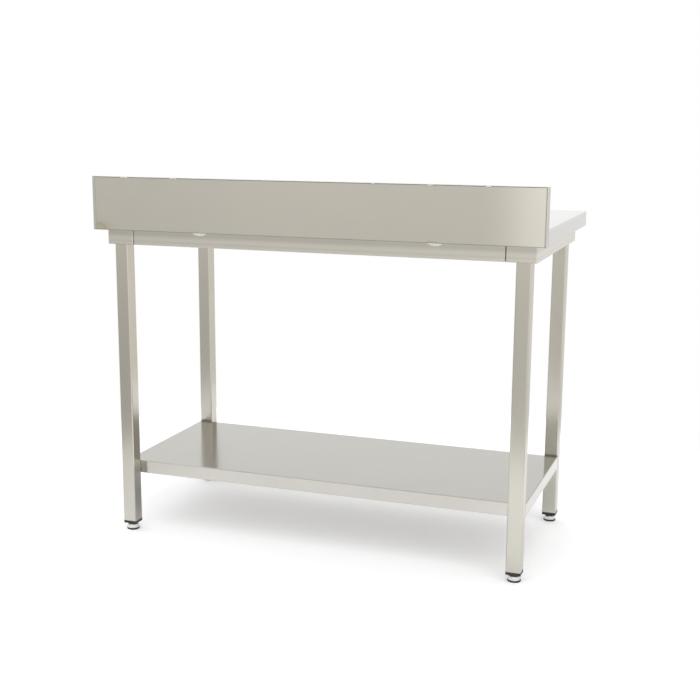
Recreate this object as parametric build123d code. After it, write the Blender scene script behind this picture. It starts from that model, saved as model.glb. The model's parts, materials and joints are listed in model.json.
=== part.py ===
from build123d import *
import os

# Stainless steel work table with a rear upstand, an under-shelf and screw-in levelling feet.
# Millimetres. +Z is up, the user stands at the front (-Y), the upstand is at the back (+Y),
# and left and right are the user's, so right is +X. The origin is the centre of the footprint
# on the floor.

# ---- driving dimensions ----
LENGTH = 1200.0          # overall, along X
DEPTH = 600.0            # overall, along Y
WORKTOP_HEIGHT = 885.0   # floor to working surface
UPSTAND_HEIGHT = 100.0   # above the working surface
UPSTAND_DEPTH = 30.0     # thickness of the boxed upstand
EDGE_HEIGHT = 40.0       # turned-down edges of the worktop
SHELF_HEIGHT = 196.0     # floor to shelf surface
SHELF_EDGE = 36.0        # turned-down edges of the shelf
FRAME_HEIGHT = 40.0      # rails and cross members
LEG_SIZE = 38.0          # square tube
FOOT_GAP = 20.0          # floor to leg cap, feet screwed in
FOOT_TRAVEL = 25.0       # how far a foot screws out

# ---- sheet and tube ----
SKIN = 1.2               # worktop, upstand and shelf sheet
FRAME_SHEET = 1.5        # rails, cross members and stiffeners
BEND = 2.4               # outside radius of a fold in the skin
FRAME_BEND = 2.2         # outside radius of a fold in the frame
LEG_WALL = 1.5
LEG_CORNER = 3.5         # outside corner radius of the leg tube
SEAM = 0.3               # gap at a butted sheet edge
EDGE_BREAK = 0.1         # a sheet's outside corner radius is its thickness less this
CUT_PAST = 5.0           # how far a cutting block runs past what it cuts

# ---- placing of the frame and legs ----
FRAME_X = 575.0          # outer faces of the cross members
FRAME_BACK = 270.0
FRAME_FRONT = -280.0
CROSS_WIDTH = 75.0
LEG_X = 561.0            # outer faces of the legs
LEG_INSET = 10.0         # leg behind the frame's front and back faces
RETURN_WIDTH = 35.0      # flange folded in under the worktop's edges
RAIL_GAP = 1.5           # open seam between a rail's end and a cross member
RAIL_REACH = 30.0        # width of a rail's flanges
RAIL_SCREW_INSET = 16.0  # rail face to its end screw
SHELF_RETURN = 18.0      # flange folded in under the shelf's edges

# ---- top-hat stiffeners ----
TOP_HAT_WEB = 60.0
TOP_HAT_FLANGE = 20.0
TOP_HAT_FRONT = -140.0   # middle of the front one, along Y
TOP_HAT_REAR = 110.0
TOP_HAT_CLEAR = 5.0      # its end to the worktop's return
SHELF_HAT_WEB = 50.0
SHELF_HAT_FLANGE = 18.0
SHELF_HAT_CLEAR = 25.0   # its end to the shelf's end

# ---- upstand ----
LAP = 8.0                # flange of an upstand end plate
PANEL_GAP = 1.0          # between the upstand's top fold and the back panel
PANEL_END_GAP = 1.0      # between its left end and the left end plate
PANEL_RETURN = 8.0       # how far the panel's bottom flange lies on the rear rail
PANEL_BEND = 1.4         # outside radius of the panel's tight bottom fold
FOLD_ROOT = 3.0          # inside radius where the worktop turns up into the upstand
FOLD_LAP = 10.0          # flat part of the worktop that the upstand's fold starts from

# ---- fasteners: metric hexagon screws ----
M8 = {"shank": 4.0, "hole": 4.4, "nut_bore": 4.05, "flats": 13.0, "head": 5.3, "nut": 6.5}
M6 = {"shank": 3.0, "hole": 3.3, "nut_bore": 3.03, "flats": 10.0, "head": 4.0, "nut": 5.0}
RIVET_BODY = 4.45        # rivet nut's radius in the leg's wall
RIVET_BULGE = 6.0        # its upset collar behind the wall
RIVET_LENGTH = 12.0
RIVET_COLLAR = 2.5       # length of that collar
RIVET_TAPER = 1.4        # and of the cone behind it
RIVET_FIT = 0.05         # rivet nut to its hole, on the radius
PAST_NUT = 2.0           # screw end standing out of its nut
HEAD_CHAMFER = 0.6
END_CHAMFER = 0.7
SHELF_SCREW_SPREAD = 9.0  # from the leg's middle to each of its two shelf screws
SHELF_SCREW_GRIP = 4.2   # shelf sheet and the first turns of the rivet nut

# ---- plate welded on each leg's top end, and its three screws ----
HEAD_PLATE = 4.0
PLATE_CLEAR_INSIDE = 4.0  # to the cross member's inner face
PLATE_CLEAR_OUTSIDE = 5.0  # to its outer face
PLATE_PAST_LEG = 6.0     # on the leg's outer side, along Y
PLATE_AHEAD = 25.0       # on the leg's inner side, along Y
SCREW_BESIDE = 12.5      # screw beside the leg, from the cross member's inner face
SCREW_AHEAD = 14.0       # screws ahead of the leg, from its inner face
SCREW_AHEAD_X = (-20.0, 13.0)  # their places from the leg's middle

# ---- levelling feet ----
CAP_BAND = 7.5           # part of the cap that shows under the tube
CAP_PROUD = 0.4          # how far the band stands out past the tube
CAP_PLUG = 22.0          # part of the cap inside the tube
CAP_FIT = 0.2            # plug to tube, each side
CAP_CHAMFER = 0.8
CAP_WALL = 2.5           # wall of the hollow plug
CAP_PLUG_CORNER = 1.8
CAP_HOLLOW_CORNER = 1.0
CAP_FLOOR = 3.0
CAP_CORE = 2.6           # plastic round the nut
CAP_RIB = 2.4            # cross ribs from the core to the plug's wall
CAP_RIB_SHORT = 1.0      # rib end to the plug's outer face
STUD_RADIUS = 5.0        # M10 thread, its crests
STUD_FIT = 0.05          # stud to nut, on the radius
STUD_IN_CAP = 0.4        # stud to plastic, on the radius
STUD_CHAMFER = 1.0
STUD_SPARE = 1.5         # stud above its nut when the foot is screwed all the way out
CAP_NUT_FLATS = 16.0
CAP_NUT_HEIGHT = 8.0
COLLAR_FLATS = 14.0
COLLAR_TOP = 19.6        # thin hexagon collar on the stud, just under the cap
COLLAR_GAP = 0.1         # collar to dome
DOME_TOP = 18.4
DOME_RADIUS = 16.0
DOME_WALL = 1.3
DOME_CROWN = 2.0         # thickness of its flat top
DOME_SHOULDER = 12.0     # height where the wall starts to turn in
DOME_FLAT = 9.0          # radius of the flat top
DOME_BULGE_IN = 1.8      # a point on the shoulder: in from the wall
DOME_BULGE_UP = 0.62     # and up, as a share of the shoulder's height
DOME_SLOPE = 0.12        # slope where the shoulder meets the flat top
SPIGOT_RADIUS = 4.0      # turned end of the stud, in the dome
SPIGOT_FIT = 0.05
SPIGOT_HEAD = 6.5        # radius of the head that keeps the stud in the dome
SPIGOT_HEAD_HEIGHT = 3.5
SPIGOT_HEAD_CHAMFER = 0.5
SPIGOT_HEAD_GAP = 0.1    # head to the dome's crown
PAD_RADIUS = 17.0
PAD_HEIGHT = 5.0
PAD_RECESS = 1.0
PAD_CHAMFER = 1.2
PAD_LIP = 0.4            # chamfer of its top edge
PAD_FIT = 0.15           # dome to the pad's seat, on the radius

# ---- heights and places worked out from the above ----
HALF_LENGTH = LENGTH / 2
HALF_DEPTH = DEPTH / 2
UPSTAND_FACE = HALF_DEPTH - UPSTAND_DEPTH
UPSTAND_TOP = WORKTOP_HEIGHT + UPSTAND_HEIGHT
FRAME_TOP = WORKTOP_HEIGHT - EDGE_HEIGHT
FRAME_BOTTOM = FRAME_TOP - FRAME_HEIGHT
PANEL_FACE = HALF_DEPTH - SKIN
PANEL_TOP = UPSTAND_TOP - SKIN - PANEL_GAP
CROSS_INNER = FRAME_X - CROSS_WIDTH
LEG_BACK = FRAME_BACK - LEG_INSET
LEG_FRONT = FRAME_FRONT + LEG_INSET
LEG_BOTTOM = FOOT_GAP + CAP_BAND
STUD_TOP = LEG_BOTTOM + CAP_PLUG + FOOT_TRAVEL + STUD_SPARE
RAIL_HALF = CROSS_INNER - RAIL_GAP
RAIL_MIDDLE = FRAME_BOTTOM + FRAME_HEIGHT / 2
LEG_TOP = FRAME_TOP - FRAME_SHEET - HEAD_PLATE
LEG_CENTRE_X = LEG_X - LEG_SIZE / 2
SHELF_BACK = LEG_BACK - LEG_SIZE
SHELF_FRONT = LEG_FRONT + LEG_SIZE
SHELF_BOTTOM = SHELF_HEIGHT - SHELF_EDGE

# Each leg by name: side along X, centre in Y, and the way from the leg towards the table's middle in Y.
LEGS = {
    "front_left": (-1, LEG_FRONT + LEG_SIZE / 2, 1),
    "front_right": (1, LEG_FRONT + LEG_SIZE / 2, 1),
    "rear_left": (-1, LEG_BACK - LEG_SIZE / 2, -1),
    "rear_right": (1, LEG_BACK - LEG_SIZE / 2, -1),
}


# ---- helpers ----
def slab(low, high):
    """Block from its lowest corner to its highest corner."""
    size = [b - a for a, b in zip(low, high)]
    middle = [(a + b) / 2 for a, b in zip(low, high)]
    return Pos(*middle) * Box(*size)


def both_ends(shape):
    """A shape and its mirror image across the YZ plane."""
    return [shape, mirror(shape, about=Plane.YZ)]


def prism_x(points, radii, sheet, x_low, x_high, side=Side.LEFT):
    """Folded strip: a (Y, Z) outline with rounded folds, thickened to one side, run along X."""
    line = FilletPolyline(*points, radius=radii)
    outline = offset(line, sheet, side=side)
    plane = Plane(origin=(x_low, 0, 0), x_dir=(0, 1, 0), z_dir=(1, 0, 0))
    return extrude(plane * make_face(outline), x_high - x_low)


def tray(low, high, sheet, radius, return_width, open_back):
    """Sheet tray, open underneath, with flanges folded in along the bottom of its edges."""
    def rounded(corner_low, corner_high, bend):
        block = slab(corner_low, corner_high)
        kept = block.edges()
        if open_back:
            kept = [e for e in kept if e.center().Y < corner_high[1] - 0.01]
        return fillet(kept, bend)

    x0, y0, z0 = low
    x1, y1, z1 = high
    back = y1 + CUT_PAST if open_back else y1 - sheet
    shell = rounded(low, high, radius)
    shell -= rounded((x0 + sheet, y0 + sheet, z0 + sheet), (x1 - sheet, back, z1 - sheet), radius - sheet)
    mouth_back = y1 + CUT_PAST if open_back else y1 - return_width
    return shell - slab((x0 + return_width, y0 + return_width, z0 - CUT_PAST),
                        (x1 - return_width, mouth_back, z0 + 2 * sheet))


def hat(y_middle, web, flange, z_low, z_high, half_length):
    """Top-hat stiffener along X: web at the bottom, flanges at the top."""
    half = web / 2
    seat = z_high - FRAME_SHEET
    points = [(y_middle - half - flange, seat), (y_middle - half, seat), (y_middle - half, z_low),
              (y_middle + half, z_low), (y_middle + half, seat), (y_middle + half + flange, seat)]
    return prism_x(points, FRAME_BEND, FRAME_SHEET, -half_length, half_length, Side.LEFT)


def hexagon(flats, height):
    """Hexagonal prism on the XY plane, flats facing +Y and -Y."""
    return extrude(RegularPolygon(flats / 2, 6, major_radius=False), height)


def screw(size, grip):
    """Hexagon screw along +Z: its head is below z = 0, and grip is what it clamps."""
    head = Pos(0, 0, -size["head"]) * hexagon(size["flats"], size["head"])
    head = chamfer(head.edges().group_by(Axis.Z)[0], HEAD_CHAMFER)
    length = grip + size["nut"] + PAST_NUT
    shank = Pos(0, 0, length / 2) * Cylinder(size["shank"], length)
    return head + chamfer(shank.edges().group_by(Axis.Z)[-1], END_CHAMFER)


def nut(size):
    """Hexagon nut on the XY plane."""
    body = hexagon(size["flats"], size["nut"])
    return body - Pos(0, 0, size["nut"] / 2) * Cylinder(size["nut_bore"], size["nut"] + 2)


def turned(points):
    """Solid of revolution about Z from (radius, height) points."""
    return revolve(make_face(Plane.XZ * Polyline(*points, close=True)), Axis.Z)


def hole(radius, length):
    return Cylinder(radius, length)


# ---- worktop and upstand ----
def worktop_skin():
    plate = tray((-HALF_LENGTH, -HALF_DEPTH, FRAME_TOP), (HALF_LENGTH, UPSTAND_FACE, WORKTOP_HEIGHT),
                 SKIN, BEND, RETURN_WIDTH, open_back=True)
    start = UPSTAND_FACE - FOLD_LAP
    rise = prism_x([(start, WORKTOP_HEIGHT), (UPSTAND_FACE, WORKTOP_HEIGHT), (UPSTAND_FACE, UPSTAND_TOP),
                    (HALF_DEPTH, UPSTAND_TOP)],
                   [FOLD_ROOT, BEND], SKIN, -HALF_LENGTH + SKIN, HALF_LENGTH - SKIN, Side.RIGHT)
    notch = slab((HALF_LENGTH - LAP - SEAM, PANEL_FACE - SEAM, UPSTAND_TOP - CUT_PAST),
                 (HALF_LENGTH, HALF_DEPTH + CUT_PAST, UPSTAND_TOP + CUT_PAST))
    return plate + rise - notch


def upstand_back_panel():
    """Closes the upstand from the top fold down to the frame, and turns in onto the rear rail."""
    foot = FRAME_BACK - PANEL_RETURN
    x_low = -HALF_LENGTH + SKIN + PANEL_END_GAP
    x_high = HALF_LENGTH - SKIN - SEAM
    panel = prism_x([(foot, FRAME_TOP), (PANEL_FACE, FRAME_TOP), (PANEL_FACE, PANEL_TOP)],
                    PANEL_BEND, SKIN, x_low, x_high, Side.LEFT)
    corner = slab((HALF_LENGTH - RETURN_WIDTH - SEAM, foot - CUT_PAST, FRAME_TOP - CUT_PAST),
                  (HALF_LENGTH, UPSTAND_FACE + SEAM, FRAME_TOP + SKIN + CUT_PAST))
    for cut in both_ends(corner):
        panel -= cut
    return panel


def upstand_end(side, flange_back, flange_low, flange_high):
    """End plate of the upstand with one flange, whose outer face is at flange_back."""
    plate = slab((HALF_LENGTH - SKIN, UPSTAND_FACE + SEAM, FRAME_TOP), (HALF_LENGTH, HALF_DEPTH, UPSTAND_TOP))
    end = plate + slab((HALF_LENGTH - LAP, flange_back - SKIN, flange_low),
                       (HALF_LENGTH - SKIN, flange_back, flange_high))
    corners = [e for e in end.edges().filter_by(Axis.Z)
               if e.center().X > HALF_LENGTH - 0.01 and e.center().Y > HALF_DEPTH - 0.01]
    end = fillet(corners, SKIN - EDGE_BREAK)
    return end if side > 0 else mirror(end, about=Plane.YZ)


def top_stiffeners():
    """Two top-hats under the worktop, standing on the cross members."""
    length = HALF_LENGTH - RETURN_WIDTH - TOP_HAT_CLEAR
    top = WORKTOP_HEIGHT - SKIN
    places = {"front": TOP_HAT_FRONT, "rear": TOP_HAT_REAR}
    return {"top_stiffener_" + name: hat(y, TOP_HAT_WEB, TOP_HAT_FLANGE, FRAME_TOP, top, length)
            for name, y in places.items()}


# ---- frame ----
def leg_screw_places(name):
    """Where the three screws of a leg's head plate stand, as (X, Y)."""
    side, y, inward = LEGS[name]
    ahead = y + inward * (LEG_SIZE / 2 + SCREW_AHEAD)
    places = [(side * (LEG_CENTRE_X + x), ahead) for x in SCREW_AHEAD_X]
    return places + [(side * (CROSS_INNER + SCREW_BESIDE), y)]


def rail_screw_places():
    """Each rail end's screw, as (side along X, Y)."""
    middles = (FRAME_BACK - RAIL_SCREW_INSET, FRAME_FRONT + RAIL_SCREW_INSET)
    return [(side, y) for side in (-1, 1) for y in middles]


def cross_member(side):
    """Channel across the table with closed ends, open underneath, which the legs stand up into."""
    low = (CROSS_INNER, FRAME_FRONT, FRAME_BOTTOM)
    high = (FRAME_X, FRAME_BACK, FRAME_TOP)
    outer = slab(low, high)
    outer = fillet([e for e in outer.edges() if e.center().Z > FRAME_BOTTOM + 0.01], FRAME_BEND)
    inner_low = (CROSS_INNER + FRAME_SHEET, FRAME_FRONT + FRAME_SHEET, FRAME_BOTTOM - CUT_PAST)
    inner = slab(inner_low, [a - FRAME_SHEET for a in high])
    inner = fillet([e for e in inner.edges() if e.center().Z > FRAME_BOTTOM], FRAME_BEND - FRAME_SHEET)
    member = outer - inner
    for name, (leg_side, _, _) in LEGS.items():
        if leg_side > 0:
            for x, y in leg_screw_places(name):
                member -= Pos(x, y, FRAME_TOP) * hole(M8["hole"], 3 * FRAME_SHEET)
    for rail_side, y in rail_screw_places():
        if rail_side > 0:
            member -= Pos(CROSS_INNER, y, RAIL_MIDDLE) * Rot(0, 90, 0) * hole(M8["hole"], 4 * FRAME_SHEET)
    return member if side > 0 else mirror(member, about=Plane.YZ)


def rail(y_face, inward):
    """Long rail, a channel open towards the table's middle, with a tab folded in at each end."""
    reach = y_face + inward * RAIL_REACH
    points = [(reach, FRAME_TOP), (y_face, FRAME_TOP), (y_face, FRAME_BOTTOM), (reach, FRAME_BOTTOM)]
    side = Side.RIGHT if inward < 0 else Side.LEFT
    channel = prism_x(points, FRAME_BEND, FRAME_SHEET, -RAIL_HALF, RAIL_HALF, side)
    y_low, y_high = sorted((y_face + inward * FRAME_SHEET, reach))
    tab = slab((RAIL_HALF - FRAME_SHEET, y_low, FRAME_BOTTOM + FRAME_SHEET),
               (RAIL_HALF, y_high, FRAME_TOP - FRAME_SHEET))
    y_screw = y_face + inward * RAIL_SCREW_INSET
    tab -= Pos(RAIL_HALF, y_screw, RAIL_MIDDLE) * Rot(0, 90, 0) * hole(M8["hole"], 4 * FRAME_SHEET)
    for piece in both_ends(tab):
        channel += piece
    return channel


def rail_fasteners():
    """Screws from inside each rail end into the cross member, and their nuts."""
    screws = []
    nuts = []
    grip = FRAME_SHEET + RAIL_GAP + FRAME_SHEET
    start = RAIL_HALF - FRAME_SHEET
    for side, y in rail_screw_places():
        turn = Rot(0, 90 * side, 0)
        screws.append(Pos(side * start, y, RAIL_MIDDLE) * turn * screw(M8, grip))
        nuts.append(Pos(side * (start + grip), y, RAIL_MIDDLE) * turn * nut(M8))
    return screws, nuts


# ---- legs ----
def leg(name):
    side, y, _ = LEGS[name]
    centre = (side * LEG_CENTRE_X, y, LEG_BOTTOM)
    bore = LEG_SIZE - 2 * LEG_WALL
    section = RectangleRounded(LEG_SIZE, LEG_SIZE, LEG_CORNER)
    section -= RectangleRounded(bore, bore, LEG_CORNER - LEG_WALL)
    tube = Pos(*centre) * extrude(section, LEG_TOP - LEG_BOTTOM)
    for x, face, height, _ in shelf_screw_places(name):
        tube -= Pos(x, face, height) * Rot(90, 0, 0) * hole(RIVET_BODY + RIVET_FIT, 3 * LEG_WALL)
    return tube


def leg_head_plate(name):
    """Plate welded across the leg's top end, under the cross member's web."""
    side, y, inward = LEGS[name]
    outer_y = y - inward * (LEG_SIZE / 2 + PLATE_PAST_LEG)
    inner_y = y + inward * (LEG_SIZE / 2 + PLATE_AHEAD)
    across = (side * (CROSS_INNER + PLATE_CLEAR_INSIDE), side * (FRAME_X - PLATE_CLEAR_OUTSIDE))
    x_low, x_high = sorted(across)
    y_low, y_high = sorted((outer_y, inner_y))
    plate = slab((x_low, y_low, LEG_TOP), (x_high, y_high, LEG_TOP + HEAD_PLATE))
    for screw_x, screw_y in leg_screw_places(name):
        plate -= Pos(screw_x, screw_y, LEG_TOP) * hole(M8["hole"], 3 * HEAD_PLATE)
    return plate


def leg_head_fasteners():
    """Screws up through the head plates and the cross members, and the nuts on top."""
    screws = []
    nuts = []
    grip = HEAD_PLATE + FRAME_SHEET
    for name in LEGS:
        for x, y in leg_screw_places(name):
            screws.append(Pos(x, y, LEG_TOP) * screw(M8, grip))
            nuts.append(Pos(x, y, FRAME_TOP) * nut(M8))
    return screws, nuts


# ---- shelf ----
def shelf_screw_places(name):
    """The two screws from the shelf's edge into a leg: X, Y of the leg's face, height, way into the leg."""
    side, y, inward = LEGS[name]
    face = y + inward * LEG_SIZE / 2
    height = SHELF_BOTTOM + SHELF_EDGE / 2
    middle = side * LEG_CENTRE_X
    return [(middle + offset, face, height, -inward) for offset in (-SHELF_SCREW_SPREAD, SHELF_SCREW_SPREAD)]


def shelf_tray():
    shelf = tray((-LEG_X, SHELF_FRONT, SHELF_BOTTOM), (LEG_X, SHELF_BACK, SHELF_HEIGHT),
                 SKIN, BEND, SHELF_RETURN, open_back=False)
    for name in LEGS:
        for x, face, height, _ in shelf_screw_places(name):
            shelf -= Pos(x, face, height) * Rot(90, 0, 0) * hole(M6["hole"], 4 * SKIN)
    return shelf


def shelf_stiffener():
    top = SHELF_HEIGHT - SKIN
    middle = (SHELF_FRONT + SHELF_BACK) / 2
    return hat(middle, SHELF_HAT_WEB, SHELF_HAT_FLANGE, SHELF_BOTTOM, top, LEG_X - SHELF_HAT_CLEAR)


def rivet_nut():
    """Rivet nut along +Z, flush with the leg's face at z = 0."""
    behind = LEG_WALL + 2 * RIVET_FIT
    collar = behind + RIVET_COLLAR
    return turned([(M6["nut_bore"], 0), (RIVET_BODY, 0), (RIVET_BODY, behind), (RIVET_BULGE, behind),
                   (RIVET_BULGE, collar), (RIVET_BODY, collar + RIVET_TAPER), (RIVET_BODY, RIVET_LENGTH),
                   (M6["nut_bore"], RIVET_LENGTH)])


def shelf_fasteners():
    screws = []
    nuts = []
    for name in LEGS:
        for x, face, height, way in shelf_screw_places(name):
            turn = Rot(-90 * way, 0, 0)
            screws.append(Pos(x, face - way * SKIN, height) * turn * screw(M6, SHELF_SCREW_GRIP))
            nuts.append(Pos(x, face, height) * turn * rivet_nut())
    return screws, nuts


# ---- feet ----
def leg_cap():
    """Plastic insert on the leg's axis: a band under the tube and a ribbed plug inside it."""
    band_size = LEG_SIZE + 2 * CAP_PROUD
    plug_size = LEG_SIZE - 2 * LEG_WALL - 2 * CAP_FIT
    band = Pos(0, 0, FOOT_GAP) * extrude(RectangleRounded(band_size, band_size, LEG_CORNER), CAP_BAND)
    band = chamfer(band.edges().group_by(Axis.Z)[0], CAP_CHAMFER)
    plug = Pos(0, 0, LEG_BOTTOM) * extrude(RectangleRounded(plug_size, plug_size, CAP_PLUG_CORNER), CAP_PLUG)
    core = Pos(0, 0, LEG_BOTTOM + CAP_PLUG / 2) * Cylinder(CAP_NUT_FLATS / 2 + CAP_CORE, CAP_PLUG)
    hollow_size = plug_size - 2 * CAP_WALL
    hollow = extrude(RectangleRounded(hollow_size, hollow_size, CAP_HOLLOW_CORNER), CAP_PLUG)
    hollow = Pos(0, 0, LEG_BOTTOM + CAP_FLOOR) * hollow
    reach = plug_size / 2 - CAP_RIB_SHORT
    rib = slab((-reach, -CAP_RIB / 2, LEG_BOTTOM), (reach, CAP_RIB / 2, LEG_BOTTOM + CAP_PLUG))
    cap = band + (plug - hollow) + core + rib + Rot(0, 0, 90) * rib
    pocket = Pos(0, 0, LEG_BOTTOM + CAP_PLUG - CAP_NUT_HEIGHT) * hexagon(CAP_NUT_FLATS, 2 * CAP_NUT_HEIGHT)
    bore = Pos(0, 0, LEG_BOTTOM) * hole(STUD_RADIUS + STUD_IN_CAP, 2 * (CAP_PLUG + CAP_BAND))
    return cap - pocket - bore


def leg_cap_nut():
    body = Pos(0, 0, LEG_BOTTOM + CAP_PLUG - CAP_NUT_HEIGHT) * hexagon(CAP_NUT_FLATS, CAP_NUT_HEIGHT)
    return body - Pos(0, 0, LEG_BOTTOM + CAP_PLUG) * hole(STUD_RADIUS + STUD_FIT, 4 * CAP_NUT_HEIGHT)


def foot_stud():
    """Threaded stud with a hexagon collar and a turned spigot riveted in the dome."""
    head_top = DOME_TOP - DOME_CROWN - SPIGOT_HEAD_GAP
    head_low = head_top - SPIGOT_HEAD_HEIGHT
    collar_low = DOME_TOP + COLLAR_GAP
    shaft = turned([(0, head_low), (SPIGOT_HEAD - SPIGOT_HEAD_CHAMFER, head_low),
                    (SPIGOT_HEAD, head_low + SPIGOT_HEAD_CHAMFER), (SPIGOT_HEAD, head_top),
                    (SPIGOT_RADIUS, head_top), (SPIGOT_RADIUS, collar_low), (STUD_RADIUS, collar_low),
                    (STUD_RADIUS, STUD_TOP - STUD_CHAMFER), (STUD_RADIUS - STUD_CHAMFER, STUD_TOP),
                    (0, STUD_TOP)])
    collar = Pos(0, 0, collar_low) * hexagon(COLLAR_FLATS, COLLAR_TOP - collar_low)
    return shaft + chamfer(collar.edges().group_by(Axis.Z)[-1], HEAD_CHAMFER)


def foot_dome():
    """Pressed steel dome: a short wall that turns in over a round shoulder to a flat top."""
    def bell(radius, low, high):
        bulge = (radius - DOME_BULGE_IN, DOME_SHOULDER + DOME_BULGE_UP * (high - DOME_SHOULDER))
        shoulder = Spline((radius, DOME_SHOULDER), bulge, (DOME_FLAT, high),
                          tangents=[(0, 1), (-1, DOME_SLOPE)])
        rest = Polyline((DOME_FLAT, high), (0, high), (0, low), (radius, low), (radius, DOME_SHOULDER))
        return revolve(make_face(Plane.XZ * (shoulder + rest)), Axis.Z)

    base = PAD_HEIGHT - PAD_RECESS
    inside = bell(DOME_RADIUS - DOME_WALL, base - CUT_PAST, DOME_TOP - DOME_CROWN)
    shell = bell(DOME_RADIUS, base, DOME_TOP) - inside
    return shell - Pos(0, 0, DOME_TOP) * hole(SPIGOT_RADIUS + SPIGOT_FIT, 3 * DOME_CROWN)


def foot_pad():
    """Rubber base with a shallow seat for the dome."""
    seat = DOME_RADIUS + PAD_FIT
    seat_low = PAD_HEIGHT - PAD_RECESS
    return turned([(0, 0), (PAD_RADIUS - PAD_CHAMFER, 0), (PAD_RADIUS, PAD_CHAMFER),
                   (PAD_RADIUS, PAD_HEIGHT - PAD_LIP), (PAD_RADIUS - PAD_LIP, PAD_HEIGHT), (seat, PAD_HEIGHT),
                   (seat, seat_low), (0, seat_low)])


# ---- assembly ----
def build():
    nodes = {
        "worktop_skin": worktop_skin(),
        "upstand_back_panel": upstand_back_panel(),
        "upstand_end_right": upstand_end(1, HALF_DEPTH, FRAME_TOP, UPSTAND_TOP),
        "upstand_end_left": upstand_end(-1, PANEL_FACE - SKIN, FRAME_TOP + 2 * SKIN, PANEL_TOP),
        "cross_member_left": cross_member(-1),
        "cross_member_right": cross_member(1),
        "rear_rail": rail(FRAME_BACK, -1),
        "front_rail": rail(FRAME_FRONT, 1),
        "shelf_tray": shelf_tray(),
        "shelf_stiffener": shelf_stiffener(),
    }
    nodes.update(top_stiffeners())
    groups = {"leg_head": leg_head_fasteners(), "rail": rail_fasteners(), "shelf": shelf_fasteners()}
    for prefix, (screws, nuts) in groups.items():
        nodes[prefix + "_screws"] = Compound(children=screws)
        nut_name = "_rivet_nuts" if prefix == "shelf" else "_nuts"
        nodes[prefix + nut_name] = Compound(children=nuts)
    foot_parts = {"leg_cap": leg_cap(), "leg_cap_nut": leg_cap_nut(), "foot_stud": foot_stud(),
                  "foot_dome": foot_dome(), "foot_pad": foot_pad()}
    for name, (side, y, _) in LEGS.items():
        nodes["leg_" + name] = leg(name)
        nodes["leg_head_plate_" + name] = leg_head_plate(name)
        for part, shape in foot_parts.items():
            nodes[part + "_" + name] = Pos(side * LEG_CENTRE_X, y, 0) * shape
    return nodes


def main():
    os.makedirs("parts", exist_ok=True)
    for name, shape in build().items():
        export_step(shape, os.path.join("parts", name + ".step"))


main()
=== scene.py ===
import json
import math
import bmesh
import bpy
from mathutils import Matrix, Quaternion, Vector

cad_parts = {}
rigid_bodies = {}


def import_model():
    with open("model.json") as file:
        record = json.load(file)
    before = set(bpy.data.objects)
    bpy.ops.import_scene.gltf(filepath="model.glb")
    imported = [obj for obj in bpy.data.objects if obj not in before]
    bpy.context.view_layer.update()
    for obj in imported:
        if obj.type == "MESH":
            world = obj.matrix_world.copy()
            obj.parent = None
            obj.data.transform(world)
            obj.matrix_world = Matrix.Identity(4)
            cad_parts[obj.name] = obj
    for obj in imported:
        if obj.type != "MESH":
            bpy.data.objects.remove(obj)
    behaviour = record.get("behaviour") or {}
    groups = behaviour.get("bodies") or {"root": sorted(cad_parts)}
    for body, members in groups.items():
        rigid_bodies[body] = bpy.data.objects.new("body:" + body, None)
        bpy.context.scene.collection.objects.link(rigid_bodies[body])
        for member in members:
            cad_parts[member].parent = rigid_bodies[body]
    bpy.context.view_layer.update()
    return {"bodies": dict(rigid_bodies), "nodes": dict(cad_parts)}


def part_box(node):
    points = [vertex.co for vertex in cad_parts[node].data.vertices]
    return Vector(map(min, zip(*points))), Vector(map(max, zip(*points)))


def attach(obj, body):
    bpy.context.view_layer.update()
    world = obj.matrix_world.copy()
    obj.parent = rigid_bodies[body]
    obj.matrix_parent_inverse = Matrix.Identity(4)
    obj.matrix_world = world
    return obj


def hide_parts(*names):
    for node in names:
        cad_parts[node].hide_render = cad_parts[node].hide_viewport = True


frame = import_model()

MM = 0.001

# ---- camera, at the photograph's viewing angle ----
CAMERA_PLACE = (-1.0969, 3.0803, 1.1584)
CAMERA_YAW = math.radians(20.68)     # from +Y towards -X
CAMERA_PITCH = math.radians(11.72)   # above the horizon
CAMERA_ROLL = math.radians(0.13)
CAMERA_LENS = 62.0
CAMERA_SHIFT = (0.0401, 0.0132)

# ---- steel, as linear reflectance ----
SHEET_STEEL = (0.60, 0.591, 0.566)
WARM_STEEL = (0.60, 0.582, 0.523)
RAIL_STEEL = (0.67, 0.651, 0.587)
SHELF_STEEL = (0.560, 0.547, 0.505)
# darker, slightly greener copy of the sheet steel for the right end plate: painted shade
SHADED_END_STEEL = (0.53, 0.535, 0.488)
TUBE_STEEL = (0.565, 0.547, 0.489)
PLATE_STEEL = (0.52, 0.515, 0.50)
FASTENER_STEEL = (0.58, 0.58, 0.575)
ZINC = (0.80, 0.81, 0.80)
DOME_STEEL = (0.70, 0.71, 0.70)
WELD_STEEL = (0.84, 0.86, 0.82)

# ---- texture fineness, in noise periods per metre ----
BRUSH_LINES = 2600.0
BRUSH_STREAKS = 260.0
HANDLING_MARKS = 6.0
SHEET_WAVES = 3.2
GRAIN_STRETCH = 0.012                # fineness along the brush lines, as a part of that across them
BLEND_OF_FACES = (0.6, 0.8)          # how squarely a face lies across the grain before it turns

# ---- brushed steel: what its texture does to shade, roughness and height ----
FINE_SHADE, STREAK_SHADE, SMUDGE_SHADE = 0.02, 0.04, 0.02
FINE_ROUGHNESS, STREAK_ROUGHNESS, SMUDGE_ROUGHNESS = 0.02, 0.03, 0.01
BRUSH_DEPTH = 0.0005 * MM
TINT_WOBBLE = 0.35                   # unevenness of heat tint, as a part of its reach

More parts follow.
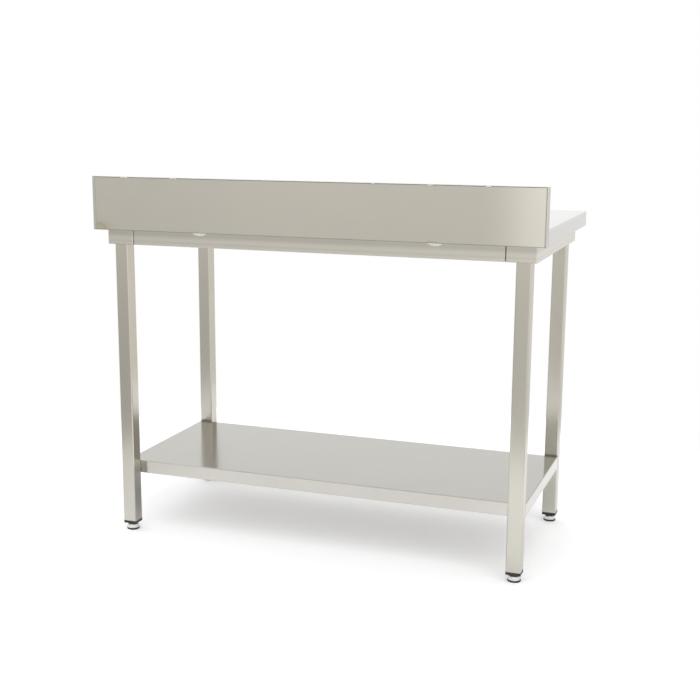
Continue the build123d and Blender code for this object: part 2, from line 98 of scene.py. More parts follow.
# ---- levelling foot's stud ----
SPIGOT_RADIUS = 4.0 * MM
SPIGOT_HEAD_RADIUS = 6.5 * MM
SPIGOT_HEAD_EDGE = 0.5 * MM
SPIGOT_HEAD_HEIGHT = 3.5 * MM
COLLAR_GAP = 0.1 * MM                # from the dome's top to the collar
COLLAR_TOP = 1.2 * MM                # above the dome's top
COLLAR_INRADIUS = 7.0 * MM
COLLAR_LOW_RADIUS = 6.6 * MM
COLLAR_LOW_EDGE = 0.3 * MM
COLLAR_HIGH_RADIUS = 6.5 * MM
COLLAR_HIGH_EDGE = 0.6 * MM
THREAD_ROOT = 4.3 * MM
THREAD_CREST = 5.0 * MM
THREAD_PITCH = 1.5 * MM
THREAD_DEPTH = 0.92 * MM
THREAD_CREST_FLAT = 0.10             # of half a pitch
THREAD_FLANK = 0.72                  # of half a pitch
THREAD_RUN_OUT = 0.8 * THREAD_PITCH
THREAD_START_GAP = 0.3 * MM
STUD_END_CHAMFER = 1.0 * MM
STUD_END_RADIUS = 3.9 * MM
THREAD_SEGMENTS = 36
THREAD_ROWS_PER_TURN = 8

# ---- welds ----
BEAD_STEP = 0.45 * MM                # between the sections of a bead
BEAD_CROWN_POINTS = 11
BEAD_BLUNT_END = 0.08                # width of a bead's very end, as a part of its full width
BEAD_ROOT_HALF = 0.15                # half the width of its root, as a part of its full width
BEAD_RIPPLE = 0.10                   # how much each pass swells a bead
BEAD_WANDER = 0.07                   # how much its width wanders along it
BEAD_WANDER_TURNS = 37.0             # radians of that wander from end to end
BEAD_WANDER_SHIFT = 90.0             # radians per metre of its start's X, so that beads differ
STITCH_LENGTH = 42 * MM
STITCH_LEG = 10.2 * MM
STITCH_HEIGHT = 0.16 * STITCH_LEG
STITCH_ROOT_DEPTH = 0.40 * STITCH_LEG
STITCH_RIPPLE = 2.6 * MM
STITCH_LIFT = 0.94                   # as a part of half its width
STITCH_PLACES = {"right": 0.304, "left": -0.326}
TACKS = ((0.506, 20 * MM), (0.363, 19 * MM), (-0.177, 8 * MM), (-0.319, 13 * MM), (-0.460, 13 * MM))
TACK_WIDTH = 3.0 * MM
TACK_HEIGHT = 0.75 * MM
TACK_RIPPLE = 1.6 * MM
LEG_WELD_SIZE = 4.0 * MM
LEG_CORNER_RADIUS = 3.5 * MM
LEG_WELD_STEPS = 220
LEG_WELD_ROOT_DEPTH = 0.3 * MM
LEG_WELD_CROWN = 0.62                # how far out and down its crown is, as a part of its size

# ---- floor ----
FLOOR_RADIUS = 1.45
FLOOR_TINT = (0.995, 1.0, 1.02)
FLOOR_SHADES = (0.93, 0.95)          # darkest and lightest of its speckle
FLOOR_GLOW = 0.22                    # white that it gives off itself, so that shadows stay pale
FLOOR_GLOW_AT_RIGHT = 0.06           # the same past the table's right end
FLOOR_GLOW_AT_LEFT = 0.12            # and what is added behind the rear left leg

CORNERS = ("front_left", "front_right", "rear_left", "rear_right")


# ======== node graphs ========
class Graph:
    """A node tree that is written as calls: each returns the node or socket it made."""

    def __init__(self, tree):
        self.tree = tree
        self.tree.nodes.clear()

    def node(self, kind, inputs=None, **settings):
        node = self.tree.nodes.new("ShaderNode" + kind)
        for key, value in settings.items():
            setattr(node, key, value)
        for key, value in (inputs or {}).items():
            if isinstance(value, bpy.types.NodeSocket):
                self.tree.links.new(value, node.inputs[key])
            else:
                node.inputs[key].default_value = value
        return node

    def math(self, operation, a, b=0.0, clamp=False):
        return self.node("Math", {0: a, 1: b}, operation=operation, use_clamp=clamp).outputs[0]

    def remap(self, value, low, high, to_low=0.0, to_high=1.0, kind="SMOOTHSTEP"):
        """A value eased from one range to another, and held at its ends."""
        inputs = {"Value": value, "From Min": low, "From Max": high, "To Min": to_low, "To Max": to_high}
        return self.node("MapRange", inputs, interpolation_type=kind).outputs[0]

    def noise(self, coords, scale, detail=2.0, roughness=0.5, stretch=(1, 1, 1), offset=(0, 0, 0)):
        """Soft noise from 0 to 1."""
        placed = self.node("Mapping", {"Vector": coords, "Scale": stretch, "Location": offset}).outputs[0]
        inputs = {"Vector": placed, "Scale": scale, "Detail": detail, "Roughness": roughness}
        return self.node("TexNoise", inputs).outputs[0]

    def mix(self, factor, a, b, blend="MIX"):
        """Colour mix."""
        node = self.node("Mix", data_type="RGBA", blend_type=blend, clamp_factor=True)
        for socket, value in zip((node.inputs[0], node.inputs[6], node.inputs[7]), (factor, a, b)):
            if isinstance(value, bpy.types.NodeSocket):
                self.tree.links.new(value, socket)
            else:
                socket.default_value = value if isinstance(value, float) else (*value[:3], 1.0)
        return node.outputs[2]

    def ramp(self, factor, stops):
        """Colour ramp from (position, colour) pairs."""
        node = self.node("ValToRGB", {"Fac": factor})
        elements = node.color_ramp.elements
        for i, (position, colour) in enumerate(stops):
            element = elements[i] if i < 2 else elements.new(position)
            element.position = position
            element.color = (*colour, 1.0)
        return node.outputs[0]

    def bump(self, height, distance, strength=1.0, normal=None):
        inputs = {"Height": height, "Distance": distance, "Strength": strength}
        if normal is not None:
            inputs["Normal"] = normal
        return self.node("Bump", inputs).outputs[0]


def new_material(name):
    material = bpy.data.materials.new(name)
    material.use_nodes = True
    return material, Graph(material.node_tree)


def surface(graph, inputs):
    shader = graph.node("BsdfPrincipled", inputs)
    graph.node("OutputMaterial", {"Surface": shader.outputs[0]})


def grey(graph, shade):
    return graph.node("CombineColor", {0: shade, 1: shade, 2: shade}).outputs[0]


def axis_parts(graph, vector):
    return graph.node("SeparateXYZ", {0: vector}).outputs


def scaled(graph, colour, factor):
    return graph.node("VectorMath", {0: colour, "Scale": factor}, operation="SCALE").outputs[0]


def brightened(graph, colour, zone, amount):
    """A colour made brighter by amount, or darker by a negative one, where zone is 1."""
    return scaled(graph, colour, graph.math("ADD", 1.0, graph.math("MULTIPLY", zone, amount)))


# ======== materials ========
GRAIN_ALONG = {"X": (GRAIN_STRETCH, 1, 1), "Y": (1, GRAIN_STRETCH, 1), "Z": (1, 1, GRAIN_STRETCH)}
GRAIN_NOISE = 0.65


def grain_side(graph, axis):
    """1 on faces that lie across the axis, 0 on faces that run along it; and the face's normal."""
    normal = graph.node("NewGeometry").outputs["True Normal"]
    across = graph.math("ABSOLUTE", axis_parts(graph, normal)["XYZ".index(axis)])
    return graph.remap(across, *BLEND_OF_FACES), normal


def grain(graph, coords, axis, folded_axis, side, scale, detail):
    """Noise drawn out along an axis; on faces across that axis it runs along folded_axis instead."""
    along = graph.noise(coords, scale, detail, GRAIN_NOISE, GRAIN_ALONG[axis])
    folded = graph.noise(coords, scale, detail, GRAIN_NOISE, GRAIN_ALONG[folded_axis])
    return graph.node("Mix", {0: side, 2: along, 3: folded}, data_type="FLOAT").outputs[0]


def grain_tangent(graph, axis, folded_axis, side, normal):
    """Direction across the grain in the face, along which brushed steel spreads a reflection."""
    lines = [tuple(float(letter == a) for letter in "XYZ") for a in (axis, folded_axis)]
    line = graph.node("Mix", {0: side, 4: lines[0], 5: lines[1]}, data_type="VECTOR").outputs[1]
    return graph.node("VectorMath", {0: normal, 1: line}, operation="CROSS_PRODUCT").outputs[0]


WELD_OXIDE = [(0.28, (0.50, 0.56, 0.60)), (0.50, (0.62, 0.55, 0.40)), (0.72, (0.86, 0.80, 0.62)),
              (0.98, (1.0, 1.0, 1.0))]
CORNER_OXIDE = [(0.34, (0.78, 0.79, 0.52)), (0.52, (0.68, 0.58, 0.46)), (0.70, (0.93, 0.86, 0.83)),
                (0.98, (1.0, 1.0, 1.0))]


def heat_tint(graph, coords, colour, spots):
    """Oxide colours round welds: each spot is (centre, radii along X, Y and Z, strength, oxide)."""
    wobble = graph.noise(coords, 90.0, 2.0)
    for centre, radii, strength, stops in spots:
        moved = graph.node("VectorMath", {0: coords, 1: centre}, operation="SUBTRACT").outputs[0]
        relative = graph.node("VectorMath", {0: moved, 1: radii}, operation="DIVIDE").outputs[0]
        reach = graph.node("VectorMath", {0: relative}, operation="LENGTH").outputs["Value"]
        reach = graph.math("ADD", reach, graph.math("MULTIPLY", wobble, TINT_WOBBLE))
        oxide = graph.ramp(reach, stops)
        colour = graph.mix(strength, colour, graph.mix(1.0, colour, oxide, "MULTIPLY"))
    return colour


def varied(graph, value, noise, amount):
    """A value raised or lowered by noise about its middle."""
    return graph.math("ADD", value, graph.math("MULTIPLY", graph.math("SUBTRACT", noise, 0.5), amount))


def shaded_along_lines(graph, coords, shade, lines):
    """A shade darkened by painted shade along seams, edges and bands: each line is (axis, place, reach,
    depth).
    """
    parts = axis_parts(graph, coords)
    for axis, place, reach, depth in lines:
        away = graph.math("ABSOLUTE", graph.math("SUBTRACT", parts["XYZ".index(axis)], place))
        shade = graph.math("MULTIPLY", shade, graph.remap(away, 0.0, reach, 1.0 - depth, 1.0))
    return shade


def leg_painted_shade(graph, coords, normal, shelf_top, under_shelf, at_shelf):
    """Painted shade on a leg's faces that look inwards: along X under the shelf, and a painted contact
    shadow along Y where the shelf's edge meets them. under_shelf and at_shelf say how much darker they are
    there."""
    x, y, z = axis_parts(graph, coords)
    normal_x, normal_y, _ = axis_parts(graph, normal)
    inwards_x = graph.remap(graph.math("MULTIPLY", x, normal_x), -0.20, -0.40)
    inwards_y = graph.remap(graph.math("MULTIPLY", y, normal_y), -0.10, -0.18)
    low = graph.remap(z, shelf_top + 9 * MM, shelf_top - 26 * MM)
    from_edge = graph.math("ABSOLUTE", graph.math("SUBTRACT", z, shelf_top))
    contact = graph.remap(from_edge, 2 * MM, 7 * MM, 1.0, 0.0)
    darker_x = graph.math("MULTIPLY", graph.math("MULTIPLY", inwards_x, low), under_shelf)
    darker_y = graph.math("MULTIPLY", graph.math("MULTIPLY", inwards_y, contact), at_shelf)
    return graph.math("SUBTRACT", 1.0, graph.math("ADD", darker_x, darker_y))


def end_bow(graph, coords, start, end, angle):
    """Height of a sheet whose face turns through a small angle from start to end along X."""
    x = axis_parts(graph, coords)[0]
    past = graph.math("MAXIMUM", graph.math("DIVIDE", graph.math("SUBTRACT", x, start), end - start), 0.0)
    rise = 0.5 * math.tan(angle) * abs(end - start)
    return graph.math("MULTIPLY", graph.math("MULTIPLY", past, past), rise)


def brushed_steel(name, colour, axis, folded_axis, roughness, waves=0.0, tints=(), bow=None, painted_shade=(),
                  inner_painted_shade=(), spread=0.55):
    """Satin steel: fine grain along an axis, soft streaks and faint handling marks. waves is the height of
    a thin sheet's slow waves, bow its turned end, tints its welds' heat tint, and spread how far the grain
    draws out a reflection; the two remaining arguments give painted shade, along lines and on a leg's
    inward faces. A roughness near 0.27 gives false patterns in a denoised picture, so no steel sheet or
    tube is that rough."""
    material, graph = new_material(name)
    coords = graph.node("TexCoord").outputs["Object"]
    side, face_normal = grain_side(graph, axis)
    fine = grain(graph, coords, axis, folded_axis, side, BRUSH_LINES, 3.0)
    streaks = grain(graph, coords, axis, folded_axis, side, BRUSH_STREAKS, 4.0)
    smudges = graph.remap(graph.noise(coords, HANDLING_MARKS, 1.5, 0.5), 0.50, 0.75)

    shade = varied(graph, 1.0, fine, FINE_SHADE)
    shade = varied(graph, shade, streaks, STREAK_SHADE)
    shade = graph.math("SUBTRACT", shade, graph.math("MULTIPLY", smudges, SMUDGE_SHADE))
    # painted shade along seams, edges and bands, and on a leg's inward faces
    shade = shaded_along_lines(graph, coords, shade, painted_shade)
    if inner_painted_shade:
        shade = graph.math("MULTIPLY", shade, leg_painted_shade(graph, coords, face_normal, *inner_painted_shade))
    tinted = graph.mix(1.0, colour, grey(graph, shade), "MULTIPLY")
    if tints:
        tinted = heat_tint(graph, coords, tinted, tints)

    rough = varied(graph, roughness, streaks, STREAK_ROUGHNESS)
    rough = varied(graph, rough, fine, FINE_ROUGHNESS)
    rough = graph.math("ADD", rough, graph.math("MULTIPLY", smudges, SMUDGE_ROUGHNESS), clamp=True)

    normal = None
    if waves:
        slow = graph.noise(coords, SHEET_WAVES, 1.0, 0.4, (1.6, 1.0, 0.7), (3.1, 0.7, 1.9))
        normal = graph.bump(slow, waves)
    if bow:
        normal = graph.bump(end_bow(graph, coords, *bow), 1.0, 1.0, normal)
    normal = graph.bump(fine, BRUSH_DEPTH, 1.0, normal)
    surface(graph, {"Base Color": tinted, "Metallic": 1.0, "Roughness": rough, "Normal": normal,
                    "Anisotropic": spread,
                    "Tangent": grain_tangent(graph, axis, folded_axis, side, face_normal)})
    return material


def plain_metal(name, colour, roughness, mottle_scale, mottle, pits):
    """Machined or plated metal with a faint mottle and fine pits, whose depth is given."""
    material, graph = new_material(name)
    coords = graph.node("TexCoord").outputs["Object"]
    cloud = graph.noise(coords, mottle_scale, 4.0, 0.6)
    speck = graph.noise(coords, 8.0 * mottle_scale, 2.0)
    tone = grey(graph, varied(graph, 1.0, cloud, mottle))
    rough = varied(graph, roughness, cloud, 0.25)
    surface(graph, {"Base Color": graph.mix(1.0, colour, tone, "MULTIPLY"), "Metallic": 1.0,
                    "Roughness": rough, "Normal": graph.bump(speck, pits)})
    return material


def weld_metal(name):
    """Weld metal: bright, with patches of straw and blue oxide."""
    material, graph = new_material(name)
    coords = graph.node("TexCoord").outputs["Object"]
    cloud = graph.noise(coords, 420.0, 3.0, 0.6)
    oxide = graph.ramp(cloud, [(0.28, (0.48, 0.55, 0.56)), (0.38, (0.74, 0.72, 0.60)),
                               (0.48, WELD_STEEL), (0.75, (0.90, 0.91, 0.89))])
    rough = graph.remap(cloud, 0.3, 0.7, 0.46, 0.28)
    normal = graph.bump(graph.noise(coords, 2400.0, 2.0), 0.02 * MM)
    surface(graph, {"Base Color": oxide, "Metallic": 1.0, "Roughness": rough, "Normal": normal})
    return material


def black_mould(name, shade, roughness, texture_scale, texture_depth):
    """Moulded plastic or rubber: near black, with an eroded mould texture and some dust."""
    material, graph = new_material(name)
    coords = graph.node("TexCoord").outputs["Object"]
    texture = graph.noise(coords, texture_scale, 3.0, 0.6)
    dust = graph.remap(graph.noise(coords, 160.0, 4.0, 0.7), 0.5, 0.8)
    colour = graph.mix(graph.math("MULTIPLY", dust, 0.35), (shade, shade, shade), (0.09, 0.088, 0.083))
    rough = graph.remap(texture, 0.3, 0.7, roughness - 0.06, roughness + 0.08)
    normal = graph.bump(texture, texture_depth)
    surface(graph, {"Base Color": colour, "Roughness": rough, "Normal": normal, "Specular IOR Level": 0.45})
    return material


def paint(node, material):
    for material_slot in frame["nodes"][node].material_slots:
        material_slot.material = material


# ======== mesh pieces ========
def finish_mesh(name, bm, material, smooth_angle=35.0):
    """Object from a bmesh, with smooth shading that breaks at edges sharper than the angle."""
    bmesh.ops.recalc_face_normals(bm, faces=bm.faces)
    mesh = bpy.data.meshes.new(name)
    bm.to_mesh(mesh)
    bm.free()
    for polygon in mesh.polygons:
        polygon.use_smooth = True
    mesh.set_sharp_from_angle(angle=math.radians(smooth_angle))
    mesh.materials.append(material)
    piece = bpy.data.objects.new(name, mesh)
    bpy.context.scene.collection.objects.link(piece)
    return piece


def skin_rings(bm, rings, closed=False):
    """Quads between rings of vertices; the first and last ring are closed with a face unless the
    rings themselves form a loop."""
    following = rings[1:] + rings[:1] if closed else rings[1:]
    for lower, upper in zip(rings, following):
        count = len(lower)
        for i in range(count):
            j = (i + 1) % count
            bm.faces.new((lower[i], lower[j], upper[j], upper[i]))
    if not closed:
        bm.faces.new(list(reversed(rings[0])))
        bm.faces.new(rings[-1])


def bead_section(place, out, across, width, height, swell, root_depth):
    """Points of one bead section: a crown from toe to toe, and a root behind it."""
    points = []
    for i in range(BEAD_CROWN_POINTS):
        u = -1 + 2 * i / (BEAD_CROWN_POINTS - 1)
        rise = height * swell * math.sqrt(max(0.0, 1 - u * u))
        points.append(place + across * (u * width / 2 * swell) + out * rise)
    root = place - out * root_depth * swell
    to_side = across * BEAD_ROOT_HALF * width * swell
    return points + [root + to_side, root - to_side]


def weld_bead(name, start, end, out, width, height, material, root_depth=0.3 * MM, ripple=2.2 * MM,
              lift=0.0, ends=6):
    """Straight weld bead from start to end whose crown faces out, with the ripples of its passes.
    Its middle stands lift above the line, and ends is the power that its ends taper with."""
    start, end, out = Vector(start), Vector(end), Vector(out).normalized()
    run = end - start
    across = run.normalized().cross(out)
    sections = max(16, int(run.length / BEAD_STEP))
    bm = bmesh.new()
    rings = []
    for k in range(sections + 1):
        t = k / sections
        taper = math.sqrt(max(0.0, 1 - (2 * t - 1) ** ends)) * (1 - BEAD_BLUNT_END) + BEAD_BLUNT_END
        phase = (t * run.length / ripple) % 1.0
        wander = math.sin(BEAD_WANDER_TURNS * t + start.x * BEAD_WANDER_SHIFT)
        swell = taper * (1.0 + BEAD_RIPPLE * (phase - 0.5) + BEAD_WANDER * wander)
        place = start + run * t + out * (lift * swell)
        section = bead_section(place, out, across, width, height, swell, root_depth)
        rings.append([bm.verts.new(p) for p in section])
    skin_rings(bm, rings)
    return finish_mesh(name, bm, material, 60.0)


def stud_profile():
    """Rows of a foot stud as (height, radius, kind) from its spigot's head up to the thread's end."""
    low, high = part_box("foot_stud_rear_right")
    dome_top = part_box("foot_dome_rear_right")[1].z
    head_top = low.z + SPIGOT_HEAD_HEIGHT
    collar_low = dome_top + COLLAR_GAP
    collar_high = dome_top + COLLAR_TOP
    rows = [(low.z, SPIGOT_HEAD_RADIUS - SPIGOT_HEAD_EDGE, "round"),
            (low.z + SPIGOT_HEAD_EDGE, SPIGOT_HEAD_RADIUS, "round"),
            (head_top, SPIGOT_HEAD_RADIUS, "round"),
            (head_top, SPIGOT_RADIUS, "round"),
            (collar_low, SPIGOT_RADIUS, "round"),
            (collar_low, COLLAR_LOW_RADIUS, "round"),
            (collar_low + COLLAR_LOW_EDGE, COLLAR_INRADIUS, "hexagon"),
            (collar_high - COLLAR_HIGH_EDGE, COLLAR_INRADIUS, "hexagon"),
            (collar_high, COLLAR_HIGH_RADIUS, "round"),
            (collar_high, THREAD_ROOT, "round")]
    step = THREAD_PITCH / THREAD_ROWS_PER_TURN
    thread_low = collar_high + THREAD_START_GAP
    thread_high = high.z - STUD_END_CHAMFER
    for k in range(int((thread_high - thread_low) / step) + 1):
        rows.append((thread_low + k * step, THREAD_CREST, "thread"))
    rows.append((high.z, STUD_END_RADIUS, "round"))
    return rows, thread_low, thread_high


def thread_radius(height, angle, crest, thread_low, thread_high):
    """Radius of a right-handed 60 degree thread, run out at both ends."""
    turn = (height / THREAD_PITCH - angle / (2 * math.pi)) % 1.0
    flank = abs(2 * turn - 1)
    cut = THREAD_DEPTH * min(1.0, max(0.0, (flank - THREAD_CREST_FLAT) / THREAD_FLANK))
    from_end = min(height - thread_low, thread_high - height)
    fade = min(1.0, max(0.0, from_end / THREAD_RUN_OUT))
    return crest - cut * fade


def hexagon_radius(inradius, angle):
    half_side = math.pi / 6
    return inradius / math.cos((angle + half_side) % (2 * half_side) - half_side)


def threaded_stud(corner, material):
    """Stud with its real thread, hexagon collar and spigot, in place of the plain CAD one."""
    low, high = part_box("foot_stud_" + corner)
    centre = (low + high) / 2
    rows, thread_low, thread_high = stud_profile()
    bm = bmesh.new()
    rings = []
    for height, radius, kind in rows:
        ring = []
        for i in range(THREAD_SEGMENTS):
            angle = 2 * math.pi * i / THREAD_SEGMENTS
            r = radius
            if kind == "hexagon":
                r = hexagon_radius(radius, angle)
            elif kind == "thread":
                r = thread_radius(height, angle, radius, thread_low, thread_high)
            point = (centre.x + r * math.cos(angle), centre.y + r * math.sin(angle), height)
            ring.append(bm.verts.new(point))
        rings.append(ring)
    skin_rings(bm, rings)
    piece = finish_mesh("threaded_stud_" + corner, bm, material, 40.0)
    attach(piece, "foot_screw_" + corner)
    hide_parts("foot_stud_" + corner)


def back_panel_welds(material):
    """Two stitch welds in the corner between the back panel's foot and the rear rail. Returns their
    places."""
    rail_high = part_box("rear_rail")[1]
    toe = STITCH_LEG / math.sqrt(2)
    half = Vector((STITCH_LENGTH / 2, 0, 0))
    for side, x in STITCH_PLACES.items():
        corner = Vector((x, rail_high.y, rail_high.z))
        bead = weld_bead("stitch_weld_" + side, corner - half, corner + half, (0, 1, -1),
                         2 * toe, STITCH_HEIGHT, material, root_depth=STITCH_ROOT_DEPTH,
                         ripple=STITCH_RIPPLE, lift=STITCH_LIFT * toe, ends=2)
        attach(bead, "table")
    return [(x, rail_high.y, rail_high.z) for x in STITCH_PLACES.values()]


def top_edge_tacks(material):
    """Small tacks that bridge the seam between the back panel and the upstand's top fold. Returns their
    places."""
    panel_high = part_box("upstand_back_panel")[1]
    height = panel_high.z + 0.5 * MM
    for number, (x, length) in enumerate(TACKS, 1):
        middle = Vector((x, panel_high.y - 0.15 * MM, height))
        half = Vector((length / 2, 0, 0))
        bead = weld_bead(f"top_tack_{number}", middle - half, middle + half, (0, 1, 0),
                         TACK_WIDTH, TACK_HEIGHT, material, ripple=TACK_RIPPLE)
        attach(bead, "table")
    return [(x, panel_high.y, height) for x, _ in TACKS]


def leg_welds(material):
    """Fillet weld round each leg's top, under its head plate."""
    down = Vector((0, 0, -1))
    on_side = 0.999                  # a part of a square path's direction that counts as its side
    for corner in CORNERS:
        low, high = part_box("leg_" + corner)
        middle = Vector(((low.x + high.x) / 2, (low.y + high.y) / 2, high.z))
        half = (high.x - low.x) / 2
        reach = half - LEG_CORNER_RADIUS
        bm = bmesh.new()
        rings = []
        for k in range(LEG_WELD_STEPS):
            angle = 2 * math.pi * k / LEG_WELD_STEPS
            c, s = math.cos(angle), math.sin(angle)
            square = max(abs(c), abs(s))
            x, y = c / square, s / square
            outward = Vector((x if abs(x) > on_side else 0, y if abs(y) > on_side else 0, 0)).normalized()
            size = LEG_WELD_SIZE * (1.0 + 0.10 * math.sin(k * 1.9) + 0.05 * math.sin(k * 0.7 + half))
            wall = middle + Vector((x * reach, y * reach, 0)) + outward * LEG_CORNER_RADIUS
            outer = wall + outward * size
            crown = wall + (outward + down) * size * LEG_WELD_CROWN
            lower = wall + down * size
            inside = wall - outward * LEG_WELD_ROOT_DEPTH
            rings.append([bm.verts.new(p) for p in (inside, outer, crown, lower)])
        skin_rings(bm, rings, closed=True)
        bead = finish_mesh("leg_weld_" + corner, bm, material, 70.0)
        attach(bead, "table")


# ======== floor, world and camera ========
def floor():
    """Pale disc that goes down with the lowest foot, so that no foot cuts through it."""
    bm = bmesh.new()
    bmesh.ops.create_circle(bm, cap_ends=True, segments=128, radius=FLOOR_RADIUS)
    material, graph = new_material("pale_floor")
    coords = graph.node("TexCoord").outputs["Object"]
    speckle = graph.remap(graph.noise(coords, 40.0, 3.0), 0.3, 0.7, *FLOOR_SHADES)
    tone = graph.mix(1.0, grey(graph, speckle), FLOOR_TINT, "MULTIPLY")
    x, y, _ = axis_parts(graph, coords)
    past_right_end = graph.math("MULTIPLY", graph.remap(x, 0.55, 0.85), graph.remap(y, -0.10, 0.25))
    behind_left_leg = graph.math("MULTIPLY", graph.remap(x, -0.28, -0.45), graph.remap(y, 0.32, 0.45))
    glow = graph.remap(past_right_end, 0.0, 1.0, FLOOR_GLOW, FLOOR_GLOW_AT_RIGHT)
    glow = graph.math("ADD", glow, graph.math("MULTIPLY", behind_left_leg, FLOOR_GLOW_AT_LEFT))
    surface(graph, {"Base Color": tone, "Roughness": 0.9, "Specular IOR Level": 0.1,
                    "Emission Color": (1, 1, 1, 1), "Emission Strength": glow})
    disc = finish_mesh("floor_disc", bm, material)
    for corner in CORNERS:
        under_foot = disc.constraints.new("FLOOR")
        under_foot.target = frame["bodies"]["foot_base_" + corner]
        under_foot.floor_location = "FLOOR_NEGATIVE_Z"


def by_height(graph, z, stops):
    """Colour ramp over the height of a direction, from (height, brightness, tint) stops."""
    colours = [((height + 1) / 2, tuple(bright * part for part in tint)) for height, bright, tint in stops]
    return graph.ramp(graph.remap(z, -1.0, 1.0, kind="LINEAR"), colours)


def studio_behind_table(graph, x, z):
    """White studio on the table's front side, warmer and mostly dimmer towards -X."""
    white, shade = (1, 1, 1), (1.0, 0.96, 0.90)
    bright = by_height(graph, z, [(-1, 0.95, white), (-0.24, 0.92, white), (-0.165, 0.96, white),
                                  (-0.10, 0.90, white), (0.0, 1.12, white), (0.10, 1.15, white),
                                  (0.17, 0.98, white), (0.24, 0.89, white), (0.40, 0.88, white),
                                  (1, 1.2, white)])
    far_wall = graph.math("MULTIPLY", graph.remap(x, -0.05, 0.15), graph.remap(z, 0.20, 0.10))
    far_wall = graph.math("MULTIPLY", far_wall, graph.remap(z, -0.15, -0.11))
    bright = brightened(graph, bright, far_wall, 0.30)
    dim = by_height(graph, z, [(-0.32, 0.70, shade), (-0.22, 0.89, shade), (-0.15, 1.14, shade),
                               (-0.06, 0.95, shade), (0.05, 0.88, shade), (0.20, 0.54, shade)])
    return graph.mix(graph.remap(x, -0.26, -0.42), bright, graph.mix(1.0, bright, dim, "MULTIPLY"))


def room_behind_camera(graph, x, z):
    """Warmer, dimmer room on the upstand's side, brighter where x is below 0.15."""
    white, warm = (1, 1, 1), (1.0, 0.98, 0.945)
    room = by_height(graph, z, [(-1, 0.9, warm), (-0.34, 0.62, warm), (-0.22, 0.60, warm),
                                (-0.17, 0.56, warm), (-0.14, 0.58, warm), (-0.11, 0.82, warm),
                                (-0.07, 0.92, warm), (0.04, 0.95, warm), (0.14, 0.80, warm),
                                (0.25, 0.66, warm), (0.40, 0.74, warm), (0.60, 1.05, white),
                                (1, 1.3, white)])
    across = graph.ramp(x, [(place, (bright, bright, bright)) for place, bright in
                            ((0.08, 1.6), (0.15, 1.0), (0.24, 1.0), (0.30, 1.04), (0.385, 1.13),
                             (0.44, 1.0), (0.48, 0.97))])
    room = graph.mix(1.0, room, across, "MULTIPLY")
    low_corner = graph.math("MULTIPLY", graph.remap(x, 0.32, 0.42), graph.remap(z, -0.185, -0.215))
    return brightened(graph, room, low_corner, -0.12)


def studio_world():
    """Brightness of the surroundings by direction. Whatever the camera sees past the floor is white."""
    world = bpy.data.worlds.new("studio")
    bpy.context.scene.world = world
    world.use_nodes = True
    graph = Graph(world.node_tree)
    x, y, z = axis_parts(graph, graph.node("TexCoord").outputs["Generated"])
    studio, room = studio_behind_table(graph, x, z), room_behind_camera(graph, x, z)
    seen = graph.mix(graph.remap(y, -0.05, 0.40), studio, room)
    lit = graph.node("Background", {"Color": seen, "Strength": 1.0}).outputs[0]
    backdrop = graph.node("Background", {"Color": (1, 1, 1, 1), "Strength": 1.0}).outputs[0]
    camera_ray = graph.node("LightPath").outputs["Is Camera Ray"]
    both = graph.node("MixShader", {0: camera_ray, 1: lit, 2: backdrop}).outputs[0]
    graph.node("OutputWorld", {"Surface": both})


def camera():
    data = bpy.data.cameras.new("camera")
    data.lens = CAMERA_LENS
    data.shift_x, data.shift_y = CAMERA_SHIFT
    data.clip_end = 60.0
    taker = bpy.data.objects.new("camera", data)
    back = Vector((-math.sin(CAMERA_YAW) * math.cos(CAMERA_PITCH),
                   math.cos(CAMERA_YAW) * math.cos(CAMERA_PITCH), math.sin(CAMERA_PITCH)))
    turn = back.to_track_quat("Z", "Y") @ Quaternion((0, 0, 1), CAMERA_ROLL)
    taker.location = CAMERA_PLACE
    taker.rotation_euler = turn.to_euler()
    bpy.context.scene.collection.objects.link(taker)
    bpy.context.scene.camera = taker


# ======== the table ========
def weld_tints(places, radii, strength):
    """Heat tint round welds at these places, for heat_tint()."""
    return [(place, radii, strength, WELD_OXIDE) for place in places]


def sheet_materials(stitches, tacks):
    """Materials of the worktop, upstand and shelf, by node."""
    panel_low, panel_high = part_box("upstand_back_panel")
    burnt_corner = (panel_high.x - 16 * MM, panel_high.y, panel_low.z + 6 * MM)
    tints = weld_tints(stitches, (0.036, 0.05, 0.014), 0.7)
    tints += weld_tints(tacks, (0.010, 0.02, 0.006), 0.8)
    tints.append((burnt_corner, (0.052, 0.05, 0.029), 0.55, CORNER_OXIDE))
    bow = (-0.44, -0.60, math.radians(-4.5))
    # painted shade: a dark line along the back panel's foot and another along its -X end
    edges = [("Z", panel_low.z, 3.0 * MM, 0.55), ("X", panel_low.x, 3.5 * MM, 0.50)]
    return {
        "worktop_skin": brushed_steel("worktop_brushed", SHEET_STEEL, "X", "Y", 0.20, 0.5 * MM),
        "upstand_back_panel": brushed_steel("upstand_brushed", WARM_STEEL, "X", "Z", 0.25, 0.9 * MM,
                                            tints, bow, edges),
        "upstand_end_left": brushed_steel("upstand_end_brushed", SHEET_STEEL, "Z", "Y", 0.30),
        # the right end plate gets painted shade: a darker copy of the sheet steel
        "upstand_end_right": brushed_steel("upstand_end_painted_shade", SHADED_END_STEEL, "Z", "Y", 0.30),
        "shelf_tray": brushed_steel("shelf_brushed", SHELF_STEEL, "X", "Z", 0.17, 0.7 * MM, spread=0.72),
    }


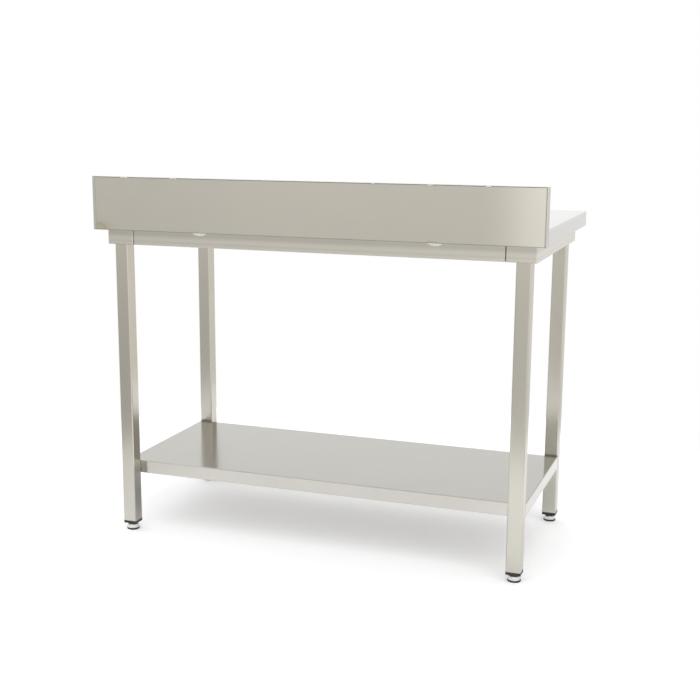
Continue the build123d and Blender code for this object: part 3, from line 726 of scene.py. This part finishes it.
def frame_materials(stitches):
    """Materials of the rails, cross members, stiffeners and legs, by the start of a node's name."""
    rail_low, rail_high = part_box("rear_rail")
    shelf_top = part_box("shelf_tray")[1].z
    # painted shade on rails and cross members: a darker band under the back panel's overhang, a faint band
    # lower down and a dark line along the foot
    painted_shade_bands = [("Z", rail_high.z - 10 * MM, 13 * MM, 0.17), ("Z", rail_low.z + 10 * MM, 5 * MM, 0.08),
             ("Z", rail_low.z, 2.2 * MM, 0.30)]
    # the rails also get a painted shade line at their +X end, where they meet the cross member
    rails = brushed_steel("rail_brushed", RAIL_STEEL, "X", "Z", 0.30, 0.2 * MM,
                          weld_tints(stitches, (0.030, 0.05, 0.012), 0.6),
                          painted_shade=painted_shade_bands + [("X", rail_high.x, 4.5 * MM, 0.35)])
    crossing = brushed_steel("cross_member_brushed", RAIL_STEEL, "Y", "X", 0.30, painted_shade=painted_shade_bands)
    hats = brushed_steel("stiffener_mill", PLATE_STEEL, "X", "Z", 0.36)
    # legs: painted shade, a little darker towards the floor and darker on inward faces under the shelf, and
    # a painted contact shadow at the shelf's edge
    tube = brushed_steel("leg_brushed", TUBE_STEEL, "Z", "Y", 0.25, painted_shade=[("Z", 0.0, 0.30, 0.05)],
                         inner_painted_shade=(shelf_top, 0.35, 0.55))
    return {"front_rail": rails, "rear_rail": rails, "cross_member": crossing, "top_stiffener": hats,
            "shelf_stiffener": hats, "leg_front": tube, "leg_rear": tube}


def small_part_materials(zinc):
    """Materials of the plates, fasteners, caps and feet, by the start of a node's name."""
    plate = plain_metal("plate_mill", PLATE_STEEL, 0.40, 60.0, 0.15, 0.02 * MM)
    fastener = plain_metal("fastener_plain", FASTENER_STEEL, 0.30, 300.0, 0.20, 0.01 * MM)
    pressed = plain_metal("dome_pressed", DOME_STEEL, 0.34, 240.0, 0.16, 0.004 * MM)
    plastic = black_mould("cap_black", 0.016, 0.42, 2600.0, 0.02 * MM)
    rubber = black_mould("foot_black", 0.014, 0.62, 1400.0, 0.05 * MM)
    return {"leg_head_plate": plate, "leg_head_screws": fastener, "leg_head_nuts": fastener,
            "rail_screws": fastener, "rail_nuts": fastener, "shelf_screws": fastener,
            "shelf_rivet_nuts": fastener, "leg_cap_nut": fastener, "leg_cap_": plastic,
            "foot_dome": pressed, "foot_pad": rubber, "foot_stud": zinc}


def paint_table(stitches, tacks, zinc):
    """Gives each CAD node the material whose key is the longest start of its name."""
    materials = {**sheet_materials(stitches, tacks), **frame_materials(stitches),
                 **small_part_materials(zinc)}
    for node in frame["nodes"]:
        start = max(filter(node.startswith, materials), key=len)
        paint(node, materials[start])


def main():
    bpy.context.scene.view_settings.view_transform = "Standard"
    camera()
    studio_world()
    floor()
    bead_metal = weld_metal("weld_bead")
    stitches = back_panel_welds(bead_metal)
    tacks = top_edge_tacks(bead_metal)
    leg_welds(bead_metal)
    zinc = plain_metal("zinc_bright", ZINC, 0.20, 240.0, 0.16, 0.004 * MM)
    paint_table(stitches, tacks, zinc)
    for corner in CORNERS:
        threaded_stud(corner, zinc)


main()
